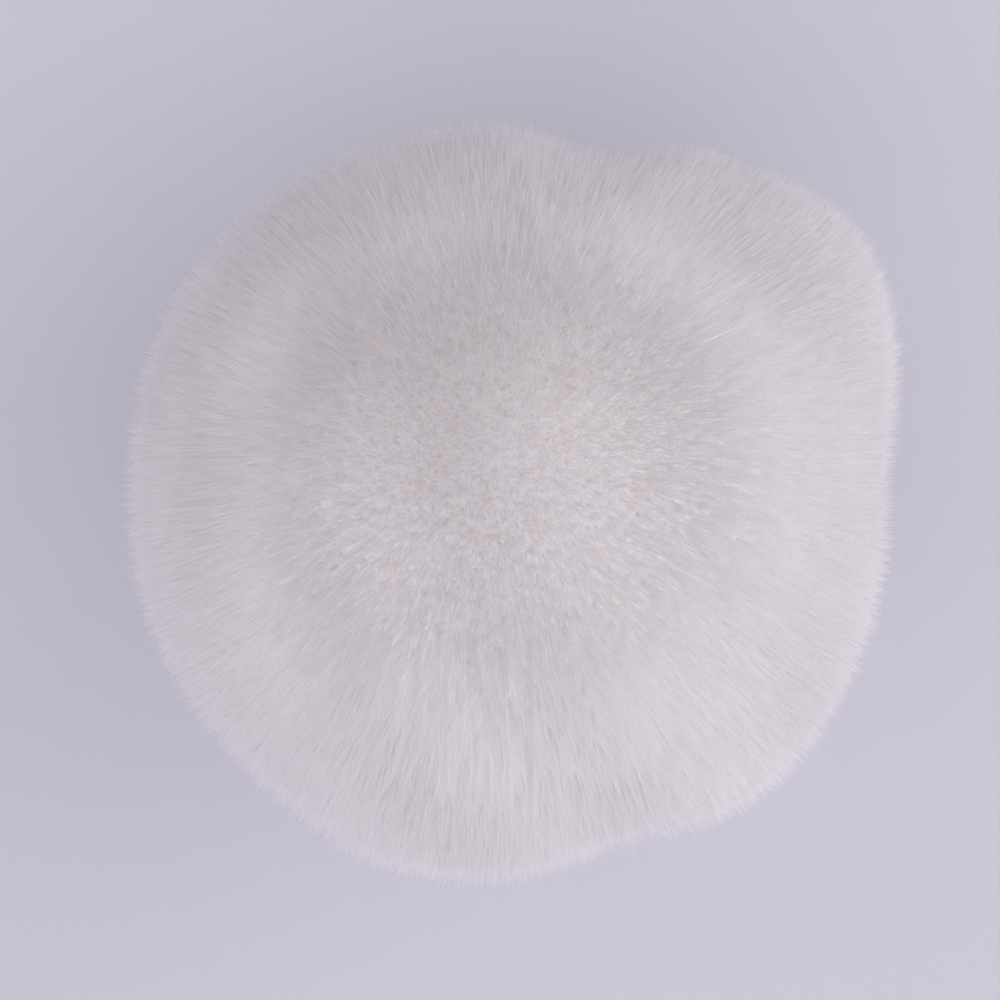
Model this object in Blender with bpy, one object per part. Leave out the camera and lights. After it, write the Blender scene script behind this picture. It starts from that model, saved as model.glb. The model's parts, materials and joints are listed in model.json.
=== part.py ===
"""A ball-shaped pom pom of long white fur, lying on a table on a small flat spot.

The pom pom is one soft thing: a round backing with fur locks all over it. The locks
are fused to the backing at their roots and stand apart from there to their tips.
Units are metres, +Z is up, and the middle of the flat spot lies at the origin.
"""

import math
import random

import bmesh
import bpy
from mathutils import Vector

# Driving dimensions
WIDTH = 0.130  # along X, from tip to tip
DEPTH = 0.126  # along Y, from tip to tip
HEIGHT = 0.106  # from the table to the highest tips
MIDDLE_HEIGHT = 0.049  # the ball's middle above the table
BACKING_RADIUS = 0.034  # the ball of cloth that the fur grows from
FOOT_ANGLE = 31.0  # degrees from straight down within which a lock stands on the table
TIP_LIFT = 0.0012  # the least height of a pointed tip over the table
TIP_STEP = 0.0003  # a tip is drawn back in such steps until it clears the table
WHORL_OFFSET = (-0.0037, 0.0089)  # where the fur parts on top, seen from above

# The fur's reach in plan: each row swells or hollows the round outline.
LUMP_COLUMNS = ("heading_deg", "spread_deg", "rise")
LUMPS = (
    (38.0, 22.0, 0.0120),
    (62.5, 5.0, 0.0018),
    (77.0, 10.0, -0.0046),
    (145.0, 33.0, 0.0047),
    (197.0, 22.0, 0.0018),
    (249.0, 15.0, 0.0021),
    (287.0, 12.0, -0.0042),
    (315.0, 13.0, 0.0012),
    (2.0, 12.0, -0.0018),
)
ROUND_REACH = 0.0630  # the round outline without the lumps
LUMP_FADE = 3.0  # the power by which the lumps die away from the rim

# Locks
SEEDS_ON_BALL = 51  # points spread over the backing; their faces make the locks' cells
SEED_STRAY = 0.05  # how far a point strays, as a share of the backing's radius
EVENING_ROUNDS = 6  # rounds that bring the cells to nearly one size
SHORTEST_LOCK = 0.90  # of the reach at that place
TIP_STRAY = 0.50  # how far a tip leans inside its cell, as a share of its half width
LAY_ANGLE = 13.0  # degrees by which the tips at the ball's side hang towards the table
RANDOM_START = 11

# A lock's cross-section on the way from its root to its tip, as a share of its cell
RING_COLUMNS = ("along", "fill")
POINTED_RINGS = (
    (0.00, 0.80),
    (0.40, 0.90),
    (0.72, 0.86),
    (0.90, 0.50),
)
FOOT_RINGS = (
    (0.00, 0.80),
    (0.45, 0.90),
    (0.84, 0.84),
    (1.00, 0.55),
)
WIDEST_SHARE = 0.93  # of a cell that a leaning lock may reach

FUR_COLOUR = (0.80, 0.77, 0.75, 1.0)
FUR_ROUGHNESS = 0.85
SMOOTH_ANGLE = 50.0  # degrees; edges sharper than this stay crisp
DOWN = Vector((0.0, 0.0, -1.0))


def angle_apart(first, second):
    """The smaller angle between two headings, in degrees."""
    return abs((first - second + 180.0) % 360.0 - 180.0)


def plan_reach(heading):
    """How far the fur reaches from the middle, seen from above."""
    reach = ROUND_REACH
    for row in LUMPS:
        lump = dict(zip(LUMP_COLUMNS, row))
        away = angle_apart(heading, lump["heading_deg"]) / lump["spread_deg"]
        reach += lump["rise"] * math.exp(-away * away)
    return reach


def fur_reach(direction):
    """How far a free tip stands from the ball's middle in this direction."""
    heading = math.degrees(math.atan2(direction.y, direction.x))
    level = math.hypot(direction.x, direction.y)
    side = ROUND_REACH + (plan_reach(heading) - ROUND_REACH) * level**LUMP_FADE
    top = HEIGHT - MIDDLE_HEIGHT
    return 1.0 / math.hypot(level / side, direction.z / top)


def hang_share(polar):
    """How much of the lay angle a lock takes: none at the top, most at the ball's side."""
    foot_edge = math.pi - math.radians(FOOT_ANGLE)
    if polar >= foot_edge:
        return 0.0
    return math.sin(math.pi * polar / foot_edge)


def place(direction, out):
    """The point so far out from the ball's middle on the bent line that leaves in a direction."""
    level = math.hypot(direction.x, direction.y)
    polar = math.atan2(level, direction.z)
    share_out = (out - BACKING_RADIUS) / (fur_reach(direction) - BACKING_RADIUS)
    polar += math.radians(LAY_ANGLE) * hang_share(polar) * share_out * share_out
    heading = math.atan2(direction.y, direction.x)
    across = math.sin(polar)
    point = Vector((across * math.cos(heading), across * math.sin(heading), math.cos(polar)))
    share_up = max(point.z, 0.0) ** 2
    point *= out
    point.x += WHORL_OFFSET[0] * share_up
    point.y += WHORL_OFFSET[1] * share_up
    point.z += MIDDLE_HEIGHT
    return point


def free_length(direction, length):
    """How far out a free tip stands, which is less where the table is in its way."""
    out = fur_reach(direction) * length
    while place(direction, out).z < TIP_LIFT:
        out -= TIP_STEP
    return out


def point_on_lock(direction, along, length, on_foot):
    """The point a share of the way along a lock that grows in this direction."""
    end = MIDDLE_HEIGHT / -direction.z if on_foot else free_length(direction, length)
    point = place(direction, BACKING_RADIUS + along * (end - BACKING_RADIUS))
    if on_foot and along == 1.0:
        point.z = 0.0
    return point


def in_cell(corners, across, up):
    """The direction at a place in a cell, whose sides lie at -1 and 1."""
    shares = (
        (1 - across) * (1 - up),
        (1 + across) * (1 - up),
        (1 + across) * (1 + up),
        (1 - across) * (1 + up),
    )
    total = Vector((0.0, 0.0, 0.0))
    for share, corner in zip(shares, corners):
        total += corner * share
    return total.normalized()


def spread_points(bm, rng):
    """Spreads points over a ball of radius 1 along a spiral, each a little off its place."""
    golden_turn = math.pi * (3.0 - math.sqrt(5.0))
    for i in range(SEEDS_ON_BALL):
        height = 1.0 - 2.0 * (i + 0.5) / SEEDS_ON_BALL
        level = math.sqrt(1.0 - height * height)
        heading = i * golden_turn
        on_spiral = Vector((level * math.cos(heading), level * math.sin(heading), height))
        stray = Vector([rng.uniform(-SEED_STRAY, SEED_STRAY) for _ in range(3)])
        bm.verts.new((on_spiral + stray).normalized())


def split_faces(bm):
    """Splits each three-sided face of the ball into three four-sided cells."""
    halfway = {}
    for edge in bm.edges[:]:
        middle = (edge.verts[0].co + edge.verts[1].co).normalized()
        halfway[edge] = bm.verts.new(middle)
    for face in bm.faces[:]:
        centre = bm.verts.new(face.calc_center_median().normalized())
        loops = face.loops[:]
        for loop in loops:
            before = halfway[loop.link_loop_prev.edge]
            after = halfway[loop.edge]
            bm.faces.new((centre, before, loop.vert, after))
    old_edges = list(halfway)
    bmesh.ops.delete(bm, geom=old_edges, context="EDGES")


def even_out(bm):
    """Moves each corner towards its neighbours, so that the cells get nearly one size."""
    for _ in range(EVENING_ROUNDS):
        targets = {}
        for vert in bm.verts:
            total = Vector((0.0, 0.0, 0.0))
            for face in vert.link_faces:
                total += face.calc_center_median() * face.calc_area()
            targets[vert] = total.normalized()
        for vert, target in targets.items():
            vert.co = target


def divided_ball(bm, rng):
    """A ball of radius 1 with its surface divided into four-sided cells, one for a lock."""
    spread_points(bm, rng)
    bmesh.ops.convex_hull(bm, input=bm.verts[:])
    split_faces(bm)
    even_out(bm)
    bmesh.ops.recalc_face_normals(bm, faces=bm.faces[:])


def grow_lock(bm, face, rng):
    """Draws one lock out of its cell of the backing."""
    corners = [vert.co.normalized() for vert in face.verts]
    middle = in_cell(corners, 0.0, 0.0)
    on_foot = middle.angle(DOWN) < math.radians(FOOT_ANGLE)
    rings = FOOT_RINGS if on_foot else POINTED_RINGS
    length = rng.uniform(SHORTEST_LOCK, 1.0)
    lean = (rng.uniform(-TIP_STRAY, TIP_STRAY), rng.uniform(-TIP_STRAY, TIP_STRAY))
    sides = ((-1, -1), (1, -1), (1, 1), (-1, 1))
    top = face
    for row in rings:
        ring = dict(zip(RING_COLUMNS, row))
        top = bmesh.ops.extrude_discrete_faces(bm, faces=[top])["faces"][0]
        slack = WIDEST_SHARE - ring["fill"]
        for vert, (across, up) in zip(top.verts, sides):
            shift = 0.0 if on_foot else slack * ring["along"]
            direction = in_cell(
                corners,
                across * ring["fill"] + lean[0] * shift,
                up * ring["fill"] + lean[1] * shift,
            )
            vert.co = point_on_lock(direction, ring["along"], length, on_foot)
    if not on_foot:
        tip = bmesh.ops.poke(bm, faces=[top])["verts"][0]
        tip.co = point_on_lock(in_cell(corners, *lean), 1.0, length, on_foot)


def fit_to_size(bm):
    """Brings the tips to the driving width, depth and height, with the foot in place."""
    for axis, size in enumerate((WIDTH, DEPTH)):
        low = min(vert.co[axis] for vert in bm.verts)
        high = max(vert.co[axis] for vert in bm.verts)
        for vert in bm.verts:
            vert.co[axis] = (vert.co[axis] - (low + high) / 2.0) * size / (high - low)
    top = max(vert.co.z for vert in bm.verts)
    for vert in bm.verts:
        vert.co.z *= HEIGHT / top


def fur_material():
    material = bpy.data.materials.new("white_fur")
    material.use_nodes = True
    shader = material.node_tree.nodes["Principled BSDF"]
    shader.inputs["Base Color"].default_value = FUR_COLOUR
    shader.inputs["Roughness"].default_value = FUR_ROUGHNESS
    shader.inputs["Metallic"].default_value = 0.0
    return material


def make_pom_pom():
    rng = random.Random(RANDOM_START)
    bm = bmesh.new()
    divided_ball(bm, rng)
    cells = bm.faces[:]
    base = bm.verts[:]
    directions = [vert.co.copy() for vert in base]
    for cell in cells:
        grow_lock(bm, cell, rng)
    for vert, direction in zip(base, directions):
        vert.co = place(direction, BACKING_RADIUS)
    fit_to_size(bm)
    bmesh.ops.recalc_face_normals(bm, faces=bm.faces[:])
    mesh = bpy.data.meshes.new("pom_pom")
    bm.to_mesh(mesh)
    bm.free()
    mesh.shade_smooth()
    mesh.set_sharp_from_angle(angle=math.radians(SMOOTH_ANGLE))
    mesh.materials.append(fur_material())
    pom_pom = bpy.data.objects.new("pom_pom", mesh)
    bpy.context.scene.collection.objects.link(pom_pom)
    return pom_pom


def main():
    for old in list(bpy.data.objects):
        bpy.data.objects.remove(old, do_unlink=True)
    make_pom_pom()


main()
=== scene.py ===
# %% [markdown]
# # A pom pom of long white fur
#
# The real thing is a ball of padded cloth with long, dense, white fur on it, lying on a
# table and seen from straight above. This lesson dresses the plain solid of that ball,
# which comes ready in a shared frame, with about four hundred thousand single hairs.
# Hair could be made with Blender's own hair curves, but a reusable part has to travel as
# a mesh, so every hair here is a thin, tapering ribbon of one or two faces.

# %% Load the frame
import json
import math

import bpy
import numpy as np
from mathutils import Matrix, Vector

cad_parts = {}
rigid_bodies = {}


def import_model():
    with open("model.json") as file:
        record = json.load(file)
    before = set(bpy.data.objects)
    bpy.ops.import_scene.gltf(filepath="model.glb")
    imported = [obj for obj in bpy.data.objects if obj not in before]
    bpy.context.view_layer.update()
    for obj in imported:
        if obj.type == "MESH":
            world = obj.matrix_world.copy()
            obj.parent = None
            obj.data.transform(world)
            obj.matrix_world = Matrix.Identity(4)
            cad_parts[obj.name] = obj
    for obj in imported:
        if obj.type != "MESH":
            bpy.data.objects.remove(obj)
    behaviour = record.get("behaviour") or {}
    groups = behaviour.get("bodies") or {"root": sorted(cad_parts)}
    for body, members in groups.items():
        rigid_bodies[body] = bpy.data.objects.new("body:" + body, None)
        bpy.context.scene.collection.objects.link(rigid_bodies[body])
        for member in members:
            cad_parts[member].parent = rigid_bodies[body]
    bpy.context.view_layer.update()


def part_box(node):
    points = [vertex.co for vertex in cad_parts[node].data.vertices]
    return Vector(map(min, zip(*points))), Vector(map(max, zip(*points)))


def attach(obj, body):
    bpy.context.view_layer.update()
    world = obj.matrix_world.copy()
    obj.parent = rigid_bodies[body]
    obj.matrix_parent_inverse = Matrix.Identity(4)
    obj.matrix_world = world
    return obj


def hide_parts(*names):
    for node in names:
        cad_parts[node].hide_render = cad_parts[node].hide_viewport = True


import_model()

LOW, HIGH = (np.array(corner, float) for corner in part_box("pom_pom"))
HEIGHT = HIGH[2] - LOW[2]
print("solid, in mm:", np.round((HIGH - LOW) * 1000, 1))

# %% [markdown]
# ## The form of the fur
#
# Fur is a field more than a surface: at each place it has a reach and a way to lie. Two
# functions hold that field, and everything below is grown from them. The first gives how
# far the fur reaches in a direction, from a round ball with a few lumps round its rim.
# The second bends the line that a hair follows, because hair hangs towards the table at
# the ball's side. Both take whole arrays of directions, which keeps the growing fast.

# %% The reach of the fur
MM = 0.001
MIDDLE_HEIGHT = 0.049  # the ball's middle above the table
BACKING_RADIUS = 0.034  # the padded ball that the hair is rooted in
ROUND_REACH = 0.0630  # the round outline without the lumps
LUMP_COLUMNS = ("heading_deg", "spread_deg", "rise")
LUMPS = (
    (38.0, 22.0, 0.0120),
    (62.5, 5.0, 0.0018),
    (77.0, 10.0, -0.0046),
    (145.0, 33.0, 0.0047),
    (197.0, 22.0, 0.0018),
    (249.0, 15.0, 0.0021),
    (287.0, 12.0, -0.0042),
    (315.0, 13.0, 0.0012),
    (2.0, 12.0, -0.0018),
)
LUMP_FADE = 3.0  # the power by which the lumps die away from the rim towards the top
MIDDLE = np.array([0.0, 0.0, MIDDLE_HEIGHT])


def unit(vectors):
    """Vectors of length 1, one a row."""
    return vectors / np.linalg.norm(vectors, axis=-1, keepdims=True)


def plan_reach(heading):
    """How far the fur reaches from the middle, seen from above, by heading in degrees."""
    reach = np.full_like(heading, ROUND_REACH)
    for row in LUMPS:
        lump = dict(zip(LUMP_COLUMNS, row))
        away = (heading - lump["heading_deg"] + 180.0) % 360.0 - 180.0
        reach += lump["rise"] * np.exp(-((away / lump["spread_deg"]) ** 2))
    return reach


def fur_reach(directions):
    """How far a free tip stands from the ball's middle in each direction."""
    heading = np.degrees(np.arctan2(directions[..., 1], directions[..., 0]))
    level = np.hypot(directions[..., 0], directions[..., 1])
    top = HEIGHT - MIDDLE_HEIGHT
    rim_share = level**LUMP_FADE
    side = ROUND_REACH + (plan_reach(heading) - ROUND_REACH) * rim_share
    return 1.0 / np.hypot(level / side, directions[..., 2] / top)


compass = np.radians(np.arange(0.0, 360.0, 45.0))
round_the_side = np.stack([np.cos(compass), np.sin(compass), 0.0 * compass], axis=-1)
print("reach round the side, in mm:", np.round(fur_reach(round_the_side) / MM, 1))

# %% [markdown]
# ## The way the hair lies
#
# On top the hair parts at a whorl a little behind the middle and stands straight up. From
# there down it leans out and hangs, most of all at the ball's side, and underneath it is
# pressed by the table. A comb would do this in sculpting. Here a formula turns each
# direction towards the table, the more the further out on the hair, and a soft floor lifts
# whatever would sink into the table and pushes it outwards, as pressed hair spreads.

# %% The lie of the hair
LAY_ANGLE = math.radians(13.0)  # the most that a tip hangs towards the table
FOOT_ANGLE = math.radians(31.0)  # from straight down, where the hair stands on the table
WHORL_OFFSET = np.array([-0.0037, 0.0089, 0.0])  # where the fur parts on top
FLOOR_GAP = 0.4 * MM  # the lowest hairs over the table
FLOOR_SOFTNESS = 1.2 * MM
FLOOR_SPREAD = 0.8  # how far pressed hair goes out for each millimetre it is lifted


def place(directions, out):
    """The points so far out on the bent lines that leave the ball in these directions."""
    level = np.hypot(directions[..., 0], directions[..., 1])
    polar = np.arctan2(level, directions[..., 2])
    heading = np.arctan2(directions[..., 1], directions[..., 0])
    full = fur_reach(directions)
    share_out = np.clip((out - BACKING_RADIUS) / (full - BACKING_RADIUS), 0.0, None)
    foot_edge = math.pi - FOOT_ANGLE
    hang = np.sin(math.pi * np.minimum(polar, foot_edge) / foot_edge)
    polar = polar + LAY_ANGLE * hang * share_out**2
    flat = np.sin(polar)
    line = np.stack([flat * np.cos(heading), flat * np.sin(heading), np.cos(polar)], axis=-1)
    share_up = np.maximum(line[..., 2:], 0.0) ** 2
    return line * out[..., None] + WHORL_OFFSET * share_up + MIDDLE


def press_on_table(points):
    """Lifts what would sink into the table, and spreads it outwards."""
    sunk = (points[..., 2] - FLOOR_GAP) / FLOOR_SOFTNESS
    lifted = FLOOR_GAP + FLOOR_SOFTNESS * np.logaddexp(0.0, sunk)
    rise = lifted - points[..., 2]
    level = points[..., :2]
    away = level / np.maximum(np.linalg.norm(level, axis=-1, keepdims=True), MM)
    spread = level + away * (rise * FLOOR_SPREAD)[..., None]
    return np.concatenate([spread, lifted[..., None]], axis=-1)


def spiral_directions(count):
    """Directions spread evenly over a ball, along a spiral from its top to its foot."""
    steps = np.arange(count)
    height = 1.0 - 2.0 * (steps + 0.5) / count
    level = np.sqrt(1.0 - height**2)
    heading = steps * math.pi * (3.0 - math.sqrt(5.0))
    return np.stack([level * np.cos(heading), level * np.sin(heading), height], axis=-1)


at_rim = round_the_side[:1]
tip_drop = MIDDLE - place(at_rim, fur_reach(at_rim))
print("a tip at the rim hangs by, in mm:", round(tip_drop[0, 2] / MM, 1))

# %% [markdown]
# ## Finishes
#
# White fur is never pure white: each hair is a clear, pale thread of keratin, a warm white
# at its root and a cooler one at its tip. A coat that is lit from all sides shows almost
# no contrast between its hairs, so the colours lie close together. Three helpers keep the
# materials short: one turns a hex colour into the linear values that a shader reads, one
# adds a node with its settings and links, and one starts an empty material.

# %% Helpers for materials
def linear(hex_colour):
    """A hex sRGB colour as linear red, green, blue and alpha."""
    parts = [int(hex_colour[i : i + 2], 16) / 255.0 for i in (1, 3, 5)]
    parts = [c / 12.92 if c <= 0.04045 else ((c + 0.055) / 1.055) ** 2.4 for c in parts]
    return (*parts, 1.0)


def add_node(tree, kind, settings=None, links=None, values=None):
    """Adds a node: its settings by attribute, its inputs by value or by linked socket."""
    node = tree.nodes.new(kind)
    for name, value in (settings or {}).items():
        setattr(node, name, value)
    for socket, value in (values or {}).items():
        node.inputs[socket].default_value = value
    for socket, source in (links or {}).items():
        tree.links.new(source, node.inputs[socket])
    return node


def new_material(name):
    """An empty node material and its output node."""
    material = bpy.data.materials.new(name)
    material.use_nodes = True
    material.node_tree.nodes.clear()
    output = add_node(material.node_tree, "ShaderNodeOutputMaterial")
    return material, material.node_tree, output


print("half grey as linear values:", np.round(linear("#808080"), 3))

# %% [markdown]
# ## The hair's material: keratin, combed
#
# Animal hair is keratin, with an index of refraction of 1.55. Washed and combed, it has a
# soft gloss, and so much light goes through a white hair that a whole coat glows: the
# shader mixes a surface with a translucent one. The roots are painted the whitest part, as
# painted light that makes up for the shade that they stand in, and keeps the coat as smooth
# to the eye as real fur with its millions of hairs. The colour also differs from hair to
# hair, and hair on top is painted darker, as painted shade. Both are read from the ribbon's
# own map, whose width is the hair's tint with its painted shade and whose height is the way
# from its root to its tip. A texture in space could tint the hairs too, but it would be lost
# when the part travels, and the map isn't.

# %% Hair material
KERATIN_IOR = 1.55
HAIR_ROUGHNESS = 0.6
# painted light: roots painted whitest and tips darker, against the shade deep in the coat; the
# tip is also cooler
HAIR_ROOT = linear("#fbfafa")
HAIR_LOWER = linear("#faf9f9")
HAIR_UPPER = linear("#faf7f9")
HAIR_TIP = linear("#f4f4f8")
LOWER_AT = 0.35  # of the way from the root to the tip
UPPER_AT = 0.65
# painted shade: the darkest tint is painted on the hair on top, as shade
DARKEST_TINT_AND_SHADE = (0.818, 0.805, 0.803)  # what the darkest tint leaves of the colour
LIGHT_THROUGH = 0.64  # share of the light that goes through a hair


def keratin_hair():
    """White combed hair: soft gloss, a warm root painted whitest against its shade, a cool tip
    and light that goes through.
    """
    material, tree, output = new_material("keratin_hair_combed")
    ribbon_map = add_node(tree, "ShaderNodeUVMap", {"uv_map": "OFBake"})
    parts = add_node(tree, "ShaderNodeSeparateXYZ", links={"Vector": ribbon_map.outputs["UV"]})
    along = add_node(tree, "ShaderNodeValToRGB", links={"Fac": parts.outputs["Y"]})
    ramp = along.color_ramp.elements
    ramp[0].color = HAIR_ROOT
    ramp[1].color = HAIR_TIP
    for position, colour in ((LOWER_AT, HAIR_LOWER), (UPPER_AT, HAIR_UPPER)):
        ramp.new(position).color = colour
    tint = add_node(
        tree,
        "ShaderNodeMix",
        {"data_type": "VECTOR"},
        links={"Factor": parts.outputs["X"]},
        values={"A": DARKEST_TINT_AND_SHADE, "B": (1.0, 1.0, 1.0)},
    )
    tinted = add_node(
        tree,
        "ShaderNodeVectorMath",
        {"operation": "MULTIPLY"},
        links={0: along.outputs["Color"], 1: tint.outputs["Result"]},
    )
    surface = add_node(
        tree,
        "ShaderNodeBsdfPrincipled",
        values={"Roughness": HAIR_ROUGHNESS, "IOR": KERATIN_IOR},
        links={"Base Color": tinted.outputs["Vector"]},
    )
    through = add_node(
        tree, "ShaderNodeBsdfTranslucent", links={"Color": tinted.outputs["Vector"]}
    )
    both = add_node(tree, "ShaderNodeMixShader", values={"Fac": LIGHT_THROUGH})
    tree.links.new(surface.outputs["BSDF"], both.inputs[1])
    tree.links.new(through.outputs["BSDF"], both.inputs[2])
    tree.links.new(both.outputs["Shader"], output.inputs["Surface"])
    return material


hair_material = keratin_hair()
print("material:", hair_material.name)

# %% [markdown]
# ## The underfur
#
# Beneath the long hairs lies a mat of short down, too dense to see through. Growing it
# hair by hair would take millions of faces that nobody sees, so it is one closed skin
# close under the tips, with a bump as fine as down. It stops the eye wherever the long
# hairs leave a gap. Near the parting on top the hairs stand upright, so the eye looks down
# between them, and the skin of the real ball shows as a few faint, warm specks. There the
# down is also painted a little darker and pinker, partly the skin's warmth and partly
# painted shade between the upright hairs.

# %% Underfur material
DOWN_SPACING_MM = 0.6  # real down is finer, and is drawn as coarse as the render can show
UNDERFUR_PALE = linear("#fcfaf9")
# darker and pinker on top: partly the skin's warmth, partly painted shade between the upright
# hairs
UNDERFUR_CROWN = linear("#f3eded")
UNDERFUR_WARM = linear("#f5e3dd")
WARM_PATCH_MM = 4.0
WARM_FROM = 0.62  # the noise value where a patch begins to turn warm
WARM_TO = 0.78
CROWN_FROM = 0.090  # the height where the warm patches begin
CROWN_TO = 0.099
DOWN_ROUGHNESS = 0.95
DOWN_GLOSS = 0.2
DOWN_BUMP = 0.6
DOWN_DEPTH = 0.5 * MM


def keratin_down():
    """Matted white down: no gloss, painted darker near the parting, partly as painted shade,
    with faint warm specks of skin.
    """
    material, tree, output = new_material("keratin_down_matted")
    place_on = add_node(tree, "ShaderNodeTexCoord")
    patches = add_node(
        tree,
        "ShaderNodeTexNoise",
        values={"Scale": 1000.0 / WARM_PATCH_MM, "Detail": 3.0},
        links={"Vector": place_on.outputs["Object"]},
    )
    height = add_node(
        tree, "ShaderNodeSeparateXYZ", links={"Vector": place_on.outputs["Object"]}
    )
    crown = add_node(
        tree,
        "ShaderNodeMapRange",
        values={"From Min": CROWN_FROM, "From Max": CROWN_TO},
        links={"Value": height.outputs["Z"]},
    )
    spots = add_node(tree, "ShaderNodeValToRGB", links={"Fac": patches.outputs["Fac"]})
    spots.color_ramp.elements[0].position = WARM_FROM
    spots.color_ramp.elements[1].position = WARM_TO
    spots.color_ramp.elements[0].color = UNDERFUR_CROWN
    spots.color_ramp.elements[1].color = UNDERFUR_WARM
    colours = add_node(
        tree,
        "ShaderNodeMix",
        {"data_type": "RGBA"},
        links={"Factor": crown.outputs["Result"], "B": spots.outputs["Color"]},
        values={"A": UNDERFUR_PALE},
    )
    strands = add_node(
        tree,
        "ShaderNodeTexNoise",
        values={"Scale": 1000.0 / DOWN_SPACING_MM, "Detail": 2.0},
        links={"Vector": place_on.outputs["Object"]},
    )
    bump = add_node(
        tree,
        "ShaderNodeBump",
        values={"Strength": DOWN_BUMP, "Distance": DOWN_DEPTH},
        links={"Height": strands.outputs["Fac"]},
    )
    surface = add_node(
        tree,
        "ShaderNodeBsdfPrincipled",
        values={
            "Roughness": DOWN_ROUGHNESS,
            "IOR": KERATIN_IOR,
            "Specular IOR Level": DOWN_GLOSS,
        },
        links={"Base Color": colours.outputs["Result"], "Normal": bump.outputs["Normal"]},
    )
    tree.links.new(surface.outputs["BSDF"], output.inputs["Surface"])
    return material


underfur_material = keratin_down()
print("material:", underfur_material.name)

# %% [markdown]
# ## The skin of underfur
#
# The mat of down follows the ball and its lumps. A ball with even faces is made, and each
# of its corners is moved out to a share of the fur's reach, along the same bent lines as
# the hairs and with the same soft floor. Sculpting could make such a skin too, but it
# would no longer fit the hairs when a lump is changed. A slight ripple keeps the shade
# between the hairs uneven, as it is in real down.

# %% Underfur skin
UNDERFUR_SHARE = 0.955  # of the fur's reach
UNDERFUR_DETAIL = 6  # halvings of the ball's faces
UNDERFUR_RIPPLE = 0.15 * MM
RIPPLE_PER_METRE = 160.0


def ripple(points):
    """A small, smooth unevenness from -1 to 1 at each point, from three crossing waves."""
    x, y, z = (points * RIPPLE_PER_METRE).T
    waves = np.sin(2.1 * x + 1.3 * y) + np.sin(1.7 * y - 2.3 * z + 1.0)
    return (waves + np.sin(1.9 * z + 2.6 * x + 2.0)) / 3.0


def make_underfur():
    """The closed skin of down under the long hair."""
    bpy.ops.mesh.primitive_ico_sphere_add(subdivisions=UNDERFUR_DETAIL, radius=1.0)
    skin = bpy.context.object
    skin.name = skin.data.name = "underfur"
    count = len(skin.data.vertices)
    flat = np.empty(count * 3, np.float32)
    skin.data.vertices.foreach_get("co", flat)
    directions = unit(flat.reshape(-1, 3).astype(float))
    out = fur_reach(directions) * UNDERFUR_SHARE
    out += ripple(directions * BACKING_RADIUS) * UNDERFUR_RIPPLE
    points = press_on_table(place(directions, out))
    skin.data.vertices.foreach_set("co", points.astype(np.float32).ravel())
    skin.data.shade_smooth()
    skin.data.materials.append(underfur_material)
    return skin


underfur = make_underfur()
print("underfur faces:", len(underfur.data.polygons))

# %% [markdown]
# ## Which way each hair leans
#
# Combed fur lies away from its whorl, so most of all the hairs lean outwards and down.
# Neighbouring hairs lean almost the same way, and that way drifts over the coat. The
# drift comes from one formula, a sum of waves in space. Where a wave pushes along the way
# it travels, tips draw together, as in the small tufts that hairs make at their ends.
# Where it pushes across that way, hairs only turn, and the coat stays equally dense. A
# second set of waves runs round the whorl: it draws the hairs into strands that run down
# the ball, with partings between them, and stands widest open in front. On top the hairs
# stand up and fall every way. Random leans alone would give felt, not fur.

# %% Lean and length
rng = np.random.default_rng(5)
LEAN_COLUMNS = ("wave_mm", "lean_mm", "draws_together")
LEANS = (
    (1.8, 0.25, True),
    (4.5, 0.14, False),
    (9.0, 0.05, False),
)
LENGTH_WAVE_MM = 7.0
WAVES_IN_SUM = 14
WAVE_SPREAD = (0.75, 1.35)  # of the wavelength, from wave to wave
OWN_LEAN_MM = 0.28
CROWN_LEAN_MM = 0.70  # on top the hairs stand up, and fall every way
PARTINGS_ROUND = (47, 61, 76, 92, 118)  # partings that run down the ball, round the whorl
PARTING_WAVE_MM = 26.0  # how far a parting keeps its line
PARTING_LEAN_MM = 0.10
PARTING_WOBBLE = 3.4  # radians by which a parting swings from its line
PARTINGS_FROM = 0.15  # how far out from the whorl they begin, as a share of the ball's radius
PARTINGS_OVER = 0.25  # and over how much more of it they grow
OPEN_PLACE = unit(np.array([-0.10, -0.62, 0.78]))  # in front, where the partings stand open
OPEN_WIDTH = 0.30
OPEN_LEAN_MM = 0.52
OUTWARD_LEAN_MM = 3.0  # away from the whorl, at the ball's flanks
OUTWARD_FROM = 0.99  # heights on a ball of radius 1: the outward lean begins here,
OUTWARD_OVER = 0.20  # is full so much lower,
OUTWARD_END = -0.75  # and ends here near the table,
OUTWARD_FADE = 0.5  # after fading over so much
CROWN_EDGE = 0.88  # the lowest height of the upright hair
CROWN_BLEND = 0.10


def random_waves(wave_mm, along):
    """Wave vectors of about this length, where each starts, and which way each pushes."""
    ways = unit(rng.normal(size=(WAVES_IN_SUM, 3)))
    lengths = wave_mm * MM * rng.uniform(*WAVE_SPREAD, WAVES_IN_SUM)
    pushes = ways if along else unit(np.cross(ways, rng.normal(size=(WAVES_IN_SUM, 3))))
    starts = rng.uniform(0.0, 2.0 * math.pi, WAVES_IN_SUM)
    return list(zip(ways * (2.0 * math.pi / lengths)[:, None], starts, pushes))


def push(points, waves):
    """What these waves add up to at each point, a vector about 1 long on average."""
    total = np.zeros_like(points)
    for vector, start, way in waves:
        total += np.sin(points @ vector + start)[:, None] * way
    return total * math.sqrt(2.0 / WAVES_IN_SUM)


lean_waves = []
for row in LEANS:
    lean_row = dict(zip(LEAN_COLUMNS, row))
    waves = random_waves(lean_row["wave_mm"], lean_row["draws_together"])
    lean_waves.append((waves, lean_row["lean_mm"] * MM))
length_waves = random_waves(LENGTH_WAVE_MM, True)
parting_waves = random_waves(PARTING_WAVE_MM, True)


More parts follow.
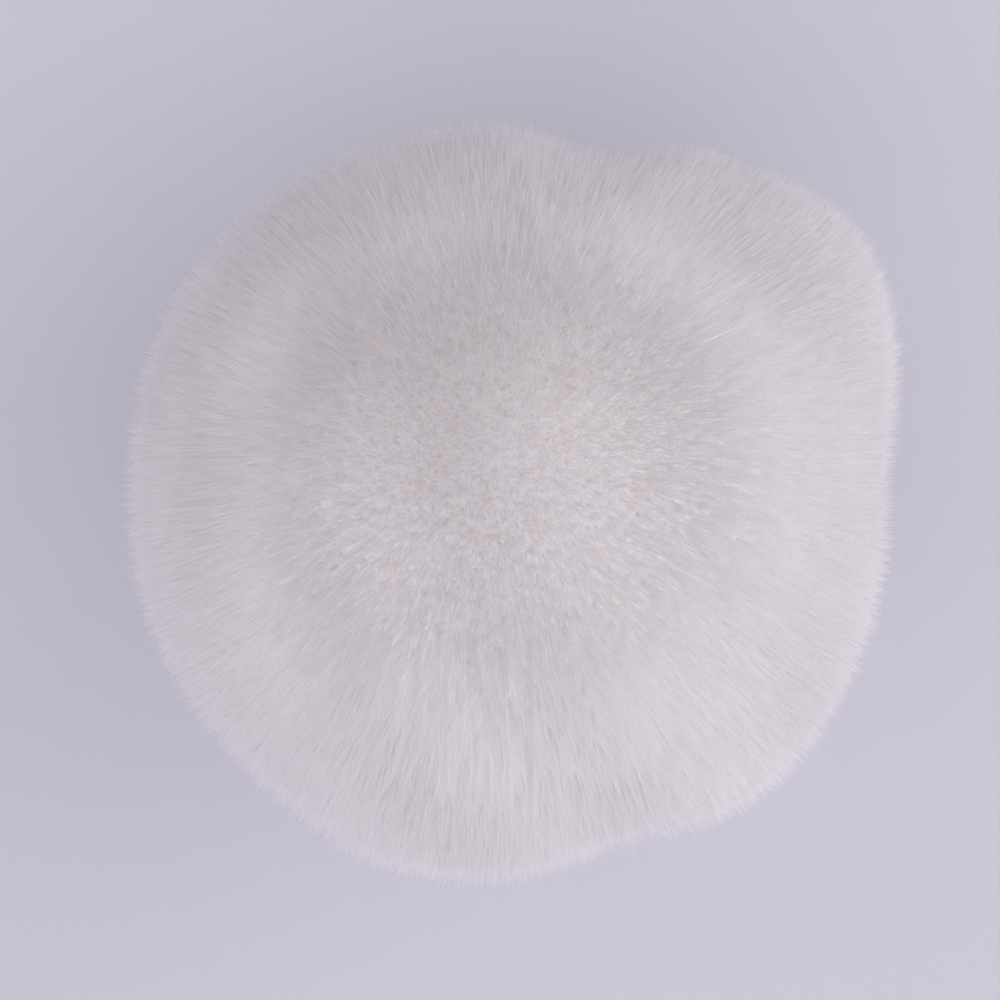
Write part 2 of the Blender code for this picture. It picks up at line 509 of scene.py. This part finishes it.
def partings(directions):
    """How far each hair's tip leans round the ball, away from the nearest parting."""
    heading = np.arctan2(directions[:, 1], directions[:, 0])
    wobble = PARTING_WOBBLE * push(directions * ROUND_REACH, parting_waves)
    lean = np.zeros(len(directions))
    for count, start in zip(PARTINGS_ROUND, wobble.T[[0, 1, 2, 0, 1]]):
        lean += np.sin(count * heading + start + count)
    level = np.hypot(directions[:, 0], directions[:, 1])
    opened = np.exp(-(((directions - OPEN_PLACE) ** 2).sum(axis=1)) / OPEN_WIDTH**2)
    far = PARTING_LEAN_MM + (OPEN_LEAN_MM - PARTING_LEAN_MM) * opened
    grown = np.clip((level - PARTINGS_FROM) / PARTINGS_OVER, 0.0, 1.0)
    far = far * MM * grown / math.sqrt(len(PARTINGS_ROUND) / 2.0)
    around = np.stack([-np.sin(heading), np.cos(heading), 0.0 * heading], axis=-1)
    return around * (lean * far)[:, None]


def away_from_top(directions):
    """The way down the ball's side from each direction, growing from nothing at the top."""
    up = directions[:, 2:]
    down = directions * up - np.array([0.0, 0.0, 1.0])
    level = np.linalg.norm(down, axis=1, keepdims=True)
    begun = np.clip((OUTWARD_FROM - up) / OUTWARD_OVER, 0.0, 1.0)
    left = np.clip((up - OUTWARD_END) / OUTWARD_FADE, 0.0, 1.0)
    return down / np.maximum(level, 1e-6) * (begun * left)


def lean_of(directions):
    """How far each hair's tip leans sideways from its root, in metres."""
    points = directions * ROUND_REACH
    lean = sum(push(points, waves) * far for waves, far in lean_waves)
    crown = np.clip((directions[:, 2] - CROWN_EDGE) / CROWN_BLEND, 0.0, 1.0)
    own = (OWN_LEAN_MM + (CROWN_LEAN_MM - OWN_LEAN_MM) * crown) * MM
    outward = away_from_top(directions) * OUTWARD_LEAN_MM * MM
    stray = rng.normal(size=directions.shape) * own[:, None]
    return lean + outward + partings(directions) + stray


at_flank = unit(np.array([[1.0, 0.0, 0.5]]))
outward_there = np.linalg.norm(away_from_top(at_flank)) * OUTWARD_LEAN_MM
print("a hair at the flank leans outwards by, in mm:", round(outward_there, 1))

# %% [markdown]
# ## Hairs
#
# Long guard hairs make the surface that the eye sees, and a denser coat of shorter hairs
# fills in behind them. A long hair has two parts and can bend, a short one is a single
# needle. A few hairs in a hundred are longer and finer than the rest: they make the soft
# halo round the rim, without which a ball of fur looks clipped. Hair that stands upright
# shows its dark gaps and hair that lies over shows its bright flanks, so each hair's tint
# carries painted shade by how far from the top it grows: darker on top, lighter lower down.

# %% Hair lines
KIND_COLUMNS = ("rows", "shortest", "longest", "width_mm")  # lengths as shares of the reach
LONG_HAIR = (np.array([0.0, 0.5, 1.0]), 0.972, 1.026, 0.15)
SHORT_HAIR = (np.array([0.0, 1.0]), 0.966, 0.992, 0.15)
ROOT_SHARE = 0.952  # of the reach, where the hairs start
FLYAWAY_SHARE = 0.05  # of the long hairs
FLYAWAY_REACH = (1.005, 1.050)  # as shares of the reach
FLYAWAY_WIDTH = 0.09 * MM
WIDTH_SPREAD = (0.75, 1.15)  # of the width, from hair to hair
CROWN_WIDTH = 0.8  # how wide the hair on top is, as a share of the rest
FINE_FROM = 0.85  # the height on a ball of radius 1 where hair begins to get finer
FINE_OVER = 0.12
# painted shade by height: hair on top is painted darker, hair lower down lighter
PAINTED_SHADE_DEGREES = (0.0, 12.0, 25.0, 32.0, 39.0, 50.0, 90.0)  # from the top
PAINTED_SHADE_THERE = (0.06, 0.06, 0.43, 0.75, 0.92, 0.84, 0.80)  # from 0, the darkest, to 1
TINT_STRAY = 0.04  # from hair to hair
ANY_TINT_SHARE = 0.01  # of the hairs, which take any tint at all
FEW_LONG = 1.8  # the power that makes the longest hairs the fewest, for a soft rim
LENGTH_DRIFT = 0.0012  # how much longer or shorter the coat is from place to place
BEND = 1.6  # the power by which a hair's lean grows along it


def shade_and_tints_of(roots):
    """The tint of each hair from 0 to 1, with painted shade: darker on top, where the eye looks
    between them.
    """
    from_top = np.degrees(np.arccos(np.clip(roots[:, 2], -1.0, 1.0)))
    tints = np.interp(from_top, PAINTED_SHADE_DEGREES, PAINTED_SHADE_THERE)
    tints = np.clip(tints + rng.normal(0.0, TINT_STRAY, len(roots)), 0.0, 0.999)
    free = rng.random(len(roots)) < ANY_TINT_SHARE
    return np.where(free, rng.random(len(roots)), tints)


def grow_hairs(roots, kind):
    """The points of the hairs from these roots, rows by hairs, each hair's width and tint, with
    its painted shade.
    """
    kind = dict(zip(KIND_COLUMNS, kind))
    count = len(roots)
    lean = lean_of(roots) / ROUND_REACH
    longer = rng.random(count) ** FEW_LONG
    length = kind["shortest"] + (kind["longest"] - kind["shortest"]) * longer
    length += LENGTH_DRIFT * push(roots * ROUND_REACH, length_waves)[:, 0]
    on_crown = np.clip((roots[:, 2] - FINE_FROM) / FINE_OVER, 0.0, 1.0)
    width = kind["width_mm"] * MM * rng.uniform(*WIDTH_SPREAD, count)
    width *= 1.0 - (1.0 - CROWN_WIDTH) * on_crown
    flyaway = (rng.random(count) < FLYAWAY_SHARE) & (len(kind["rows"]) > 2)
    length = np.where(flyaway, rng.uniform(*FLYAWAY_REACH, count), length)
    width = np.where(flyaway, FLYAWAY_WIDTH, width)
    rows = []
    for share in kind["rows"]:
        line = unit(roots + lean * share**BEND)
        out = fur_reach(line) * (ROOT_SHARE + share * (length - ROOT_SHARE))
        rows.append(press_on_table(place(line, out)))
    return np.stack(rows), width, shade_and_tints_of(roots)


for kind_name, kind in (("long", LONG_HAIR), ("short", SHORT_HAIR)):
    tips = np.array(kind[1:3]) - UNDERFUR_SHARE
    shown = np.round(tips * ROUND_REACH / MM, 1)
    print(kind_name, "hair stands over the underfur by, in mm:", shown)

# %% [markdown]
# ## Ribbons
#
# A hair's line becomes a ribbon: two points on either side of it in each row and one at
# the tip. The ribbon is turned to face outwards like the flank of a real hair, give or
# take a random roll, so that neighbours catch the light differently. All ribbons of one
# zone are written into one mesh at once, which takes arrays and not a loop over hairs.

# %% Ribbon meshes
ROW_WIDTHS = np.array([1.0, 0.9])  # at the root and halfway, as shares of the width
ROLL_SPREAD = math.radians(24.0)
LEAST_CROSSING = 0.08  # a hair that points more straight outwards than this
ANY_WAY = np.array([0.31, 0.87, 0.38])  # has its ribbon turned by this instead
TINTS = 48  # columns in the ribbon's map
SIDE_MARGIN = 0.1  # left free at both sides of a column, as a share of it
END_MARGIN = 0.02  # left free at the map's foot and head


def ribbon_points(lines, width):
    """The ribbons' corners, hairs by corners, from the hairs' lines."""
    tangent = unit(np.gradient(lines, axis=0))
    outward = unit(lines - MIDDLE)
    across = np.cross(tangent, outward)
    lengths = np.linalg.norm(across, axis=-1, keepdims=True)
    spare = unit(np.cross(tangent, ANY_WAY))
    across = np.where(lengths > LEAST_CROSSING, across / np.maximum(lengths, 1e-9), spare)
    roll = rng.normal(0.0, ROLL_SPREAD, lines.shape[1])[None, :, None]
    across = across * np.cos(roll) + np.cross(tangent, across) * np.sin(roll)
    half = 0.5 * width[None, :, None] * ROW_WIDTHS[: len(lines) - 1, None, None]
    left = lines[:-1] - across[:-1] * half
    right = lines[:-1] + across[:-1] * half
    pairs = np.stack([left, right], axis=1).reshape(-1, lines.shape[1], 3)
    return np.concatenate([pairs, lines[-1:]]).transpose(1, 0, 2)


LONG_FACES = ((0, 1, 3, 2), (2, 3, 4))
SHORT_FACES = ((0, 1, 2),)


def ribbon_parts(lines, width, tints, faces, rows_at, start):
    """Corners, face corners, face sizes and map of these hairs' ribbons."""
    points = ribbon_points(lines, width)
    hairs, corners = points.shape[:2]
    order = np.concatenate(faces)
    starts = start + np.arange(hairs)[:, None] * corners
    loops = (starts + order).ravel()
    sizes = np.tile([len(face) for face in faces], hairs)
    side = np.append(np.tile([0.0, 1.0], len(rows_at) - 1), 0.5)
    along = np.append(np.repeat(rows_at[:-1], 2), 1.0)
    tint = np.floor(tints * TINTS)[:, None]
    u = (tint + SIDE_MARGIN + (1.0 - 2.0 * SIDE_MARGIN) * side[order][None, :]) / TINTS
    v = END_MARGIN + (1.0 - 2.0 * END_MARGIN) * along[order][None, :]
    v = np.broadcast_to(v, u.shape)
    return points.reshape(-1, 3), loops, sizes, np.stack([u, v], axis=-1).reshape(-1, 2)


def ribbon_mesh(name, long_hair, short_hair):
    """One mesh of all these hairs, with the map that carries tint with painted shade, and way
    along.
    """
    first = ribbon_parts(*long_hair, LONG_FACES, LONG_HAIR[0], 0)
    second = ribbon_parts(*short_hair, SHORT_FACES, SHORT_HAIR[0], len(first[0]))
    points, loops, sizes, uv = (np.concatenate(both) for both in zip(first, second))
    loops = loops.astype(np.int32)
    sizes = sizes.astype(np.int32)
    mesh = bpy.data.meshes.new(name)
    mesh.vertices.add(len(points))
    mesh.vertices.foreach_set("co", points.astype(np.float32).ravel())
    mesh.loops.add(len(loops))
    mesh.loops.foreach_set("vertex_index", loops)
    mesh.polygons.add(len(sizes))
    mesh.polygons.foreach_set("loop_start", (np.cumsum(sizes) - sizes).astype(np.int32))
    mesh.polygons.foreach_set("loop_total", sizes)
    layer = mesh.uv_layers.new(name="OFBake")
    layer.uv.foreach_set("vector", uv.astype(np.float32).ravel())
    mesh.update(calc_edges=True)
    mesh.shade_smooth()
    mesh.materials.append(hair_material)
    return mesh


print("faces in a long hair:", len(LONG_FACES), "and in a short one:", len(SHORT_FACES))

# %% [markdown]
# ## The coat in zones
#
# The real coat is one, but a single mesh of all its hairs would be too heavy to handle,
# and the hair on top is seen from nearer than the hair underneath. So the coat is grown
# in six zones between two heights each, with fewer hairs towards the foot. A hair belongs
# to the zone that its root lies in, and hairs of two zones mingle where they meet, so no
# seam shows. Roots follow a spiral, each a little off its place, which spreads them more
# evenly than chance would and without rows.

# %% Grow the zones
ZONE_COLUMNS = ("name", "top_height", "foot_height", "density")  # heights on a ball of radius 1
ZONES = (
    ("fur_crown", 1.0, 0.72, 1.15),
    ("fur_shoulder", 0.72, 0.42, 1.15),
    ("fur_upper_side", 0.42, 0.10, 1.1),
    ("fur_side", 0.10, -0.26, 1.0),
    ("fur_lower", -0.26, -0.64, 0.85),
    ("fur_under", -0.64, -1.0, 0.6),
)
LONG_ON_BALL = 120000
SHORT_ON_BALL = 300000
ROOT_STRAY = 0.5  # of the way to the next root


def roots_in(zone, on_ball):
    """Directions of the roots in a zone, at its share of the density of a full ball."""
    count = int(on_ball * zone["density"])
    roots = spiral_directions(count)
    stray = ROOT_STRAY * math.sqrt(4.0 * math.pi / count)
    roots = unit(roots + rng.normal(0.0, stray, roots.shape))
    height = roots[:, 2]
    return roots[(height <= zone["top_height"]) & (height > zone["foot_height"])]


def make_zone(zone):
    """The hair between two heights on the ball, as one piece."""
    long_hair = grow_hairs(roots_in(zone, LONG_ON_BALL), LONG_HAIR)
    short_hair = grow_hairs(roots_in(zone, SHORT_ON_BALL), SHORT_HAIR)
    mesh = ribbon_mesh(zone["name"], long_hair, short_hair)
    piece = bpy.data.objects.new(zone["name"], mesh)
    bpy.context.scene.collection.objects.link(piece)
    long_count, short_count = long_hair[0].shape[1], short_hair[0].shape[1]
    triangles = long_count * 3 + short_count
    print(zone["name"], "long:", long_count, "short:", short_count, "triangles:", triangles)
    return piece


fur_pieces = [make_zone(dict(zip(ZONE_COLUMNS, row))) for row in ZONES]

# %% [markdown]
# ## Joining the frame
#
# Every piece rides on the one body of this part and stands for the plain solid, which is
# hidden.

# %% Ride and replace
for piece in [underfur, *fur_pieces]:
    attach(piece, "root")
    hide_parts("pom_pom")
print("pieces on the body:", 1 + len(fur_pieces))

# %% [markdown]
# ## The table
#
# The table is a plain sheet in a pale, cool grey, painted matt: it takes the ball's soft
# shade and mirrors nothing. A backdrop that curves up behind the ball is the usual studio
# way, but from straight above a flat sheet shows the same. It isn't part of the pom pom.

# %% Table
TABLE_COLOUR = linear("#dedbe5")
TABLE_SIZE = 3.0
PAINT_ROUGHNESS = 0.9
PAINT_GLOSS = 0.1


def matt_paint():
    """Matt emulsion paint, rolled on: it scatters light evenly, with hardly any gloss."""
    material, tree, output = new_material("matt_paint_rolled")
    surface = add_node(
        tree,
        "ShaderNodeBsdfPrincipled",
        values={
            "Base Color": TABLE_COLOUR,
            "Roughness": PAINT_ROUGHNESS,
            "Specular IOR Level": PAINT_GLOSS,
        },
    )
    tree.links.new(surface.outputs["BSDF"], output.inputs["Surface"])
    return material


bpy.ops.mesh.primitive_plane_add(size=TABLE_SIZE, location=(0.0, 0.0, 0.0))
table = bpy.context.object
table.name = "table_top"
table.data.materials.append(matt_paint())
print("stage:", table.name)

# %% [markdown]
# ## The light
#
# The light is that of a room with pale walls and no lamp overhead: each wall gives its own
# share, most from the front and least from behind, and each fades towards the ceiling, as
# walls seen from a table do. A large window at the right makes that side the brightest.
# Four soft lamps could do the same, but the shade of each would show on the table. The
# walls are worked out in the world's shader, where light that comes from the right, for
# one, is the part of a direction that points to the right.

# %% Light
SKY_COLOUR = linear("#f3f2f9")
WALLS_AHEAD = (0.90, 0.56, 0.0)  # strength of the light from the right and from behind
WALLS_BACK = (-1.06, -1.41, 0.0)  # and from the left and from the front
WINDOW_HEADING = math.radians(8.0)
WINDOW_AWAY = 1.5
WINDOW_HEIGHT = 0.55
WINDOW_SIZE = 1.4
WINDOW_POWER = 9.2


def window_light(name, place_at, size, power):
    """A large square light that faces the ball, as a window does."""
    lamp = bpy.data.lights.new(name, "AREA")
    lamp.shape = "SQUARE"
    lamp.size = size
    lamp.energy = power
    holder = bpy.data.objects.new(name, lamp)
    holder.location = place_at
    facing = Vector((0.0, 0.0, MIDDLE_HEIGHT)) - place_at
    holder.rotation_euler = facing.to_track_quat("-Z", "Y").to_euler()
    bpy.context.scene.collection.objects.link(holder)
    return holder


window_place = Vector(
    (
        WINDOW_AWAY * math.cos(WINDOW_HEADING),
        WINDOW_AWAY * math.sin(WINDOW_HEADING),
        WINDOW_HEIGHT,
    )
)
window_light("key_light", window_place, WINDOW_SIZE, WINDOW_POWER)
world = bpy.data.worlds.new("studio")
bpy.context.scene.world = world
world.use_nodes = True
background = world.node_tree.nodes["Background"]
background.inputs["Color"].default_value = SKY_COLOUR
sky = world.node_tree
look = add_node(sky, "ShaderNodeTexCoord")
shares = []
for side, weights in (("MAXIMUM", WALLS_AHEAD), ("MINIMUM", WALLS_BACK)):
    half = add_node(
        sky,
        "ShaderNodeVectorMath",
        {"operation": side},
        links={0: look.outputs["Generated"]},
        values={1: (0.0, 0.0, 0.0)},
    )
    weighed = add_node(
        sky,
        "ShaderNodeVectorMath",
        {"operation": "DOT_PRODUCT"},
        links={0: half.outputs["Vector"]},
        values={1: weights},
    )
    shares.append(weighed.outputs["Value"])
strength = add_node(
    sky, "ShaderNodeMath", {"operation": "ADD"}, links={0: shares[0], 1: shares[1]}
)
sky.links.new(strength.outputs["Value"], background.inputs["Strength"])
bpy.context.scene.view_settings.view_transform = "Standard"
print("window at, in mm:", np.round(np.array(window_place) / MM).tolist())

# %% [markdown]
# ## The camera
#
# The photo is taken from straight above. How wide the view is at the ball's rim is known
# from the ball's own width, so the camera's height follows from that width, its lens and
# its sensor. A longer lens from higher up would give nearly the same picture.

# %% Camera
FRAME_WIDTH = 0.1675  # of the view at the height of the ball's rim
RIM_HEIGHT = 0.046
LENS_MM = 100.0
SENSOR_MM = 36.0
VIEW_CENTRE = (-0.0028, 0.0006)  # the picture's middle, beside the ball's

camera_data = bpy.data.cameras.new("camera")
camera_data.lens = LENS_MM
camera_data.sensor_width = SENSOR_MM
camera = bpy.data.objects.new("camera", camera_data)
camera_height = RIM_HEIGHT + FRAME_WIDTH * LENS_MM / SENSOR_MM
camera.location = (VIEW_CENTRE[0], VIEW_CENTRE[1], camera_height)
bpy.context.scene.collection.objects.link(camera)
bpy.context.scene.camera = camera
print("camera height, in mm:", round(camera_height / MM))
